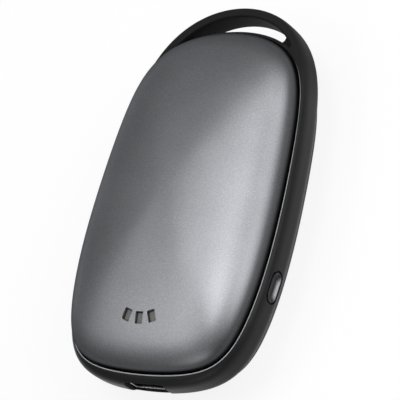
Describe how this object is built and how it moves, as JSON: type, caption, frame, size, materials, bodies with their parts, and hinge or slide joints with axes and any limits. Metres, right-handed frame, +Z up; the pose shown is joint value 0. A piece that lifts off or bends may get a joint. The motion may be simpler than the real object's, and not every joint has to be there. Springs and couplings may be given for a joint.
{
  "type": "rechargeable hand warmer",
  "caption": "Pebble-shaped electric hand warmer: domed metal covers on a plastic band that rises into a carrying loop, with light windows, a side button, a power outlet and a charging inlet.",
  "frame": {"origin": "on the floor, at the bottom centre of the bounding box, under the flat middle of the rear cover", "axes": "+Z up out of the front cover, +Y toward the carrying loop, -Y toward the power outlet, +X toward the button"},
  "size_m": [0.0678, 0.118, 0.0332],
  "materials": {
    "cover_metal": "fine-grained satin, anodised dark grey",
    "black_plastic": "satin",
    "tray_plastic": "moulded",
    "lens_plastic": "milky, smooth",
    "diode": "smooth",
    "board_green": "lacquered",
    "steel": "nickel-plated",
    "gold": "gold-plated",
    "chip_black": "moulded",
    "ferrite": "sintered",
    "copper": "enamelled",
    "cell_foil": "laminated foil",
    "wire_red": "smooth",
    "wire_white": "smooth",
    "white_nylon": "moulded",
    "heating_film": "clear amber film",
    "foam": "open-pored",
    "sensor_glass": "coated bead"
  },
  "bodies": {
    "warmer": {"front_cover": "cover_metal", "rear_cover": "cover_metal", "mid_frame": "black_plastic", "tray": "tray_plastic", "light_guide": "lens_plastic", "indicator_diodes": "diode", "circuit_board": "board_green", "outlet_shell": "steel", "outlet_tongue": "chip_black", "outlet_contacts": "gold", "inlet_shell": "steel", "inlet_tongue": "chip_black", "switch_body": "chip_black", "control_chip": "chip_black", "chip_pins": "steel", "power_inductor": "ferrite", "inductor_winding": "copper", "capacitors": "steel", "board_resistors": "chip_black", "lead_sockets": "white_nylon", "battery_cell": "cell_foil", "end_board": "board_green", "cell_tabs": "steel", "battery_leads": "wire_red", "front_heater": "heating_film", "rear_heater": "heating_film", "front_heater_leads": "wire_white", "rear_heater_leads": "wire_white", "front_foam": "foam", "rear_foam": "foam", "heat_sensor": "sensor_glass", "board_screws": "steel", "tray_screws": "steel"},
    "button": {"power_button": "black_plastic"},
    "plunger": {"switch_plunger": "white_nylon"}
  },
  "joints": [
    {"name": "button_press", "type": "slide", "parent": "warmer", "child": "button", "axis": [-0.997, 0.078, 0], "range_m": [0, 0.00035], "stiffness_N_per_m": 1500},
    {"name": "plunger_press", "type": "slide", "parent": "warmer", "child": "plunger", "axis": [-0.997, 0.078, 0], "range_m": [0, 0.00035]}
  ],
  "couplings": [
    {"joint": "plunger_press", "follows": "button_press", "ratio": 1}
  ]
}
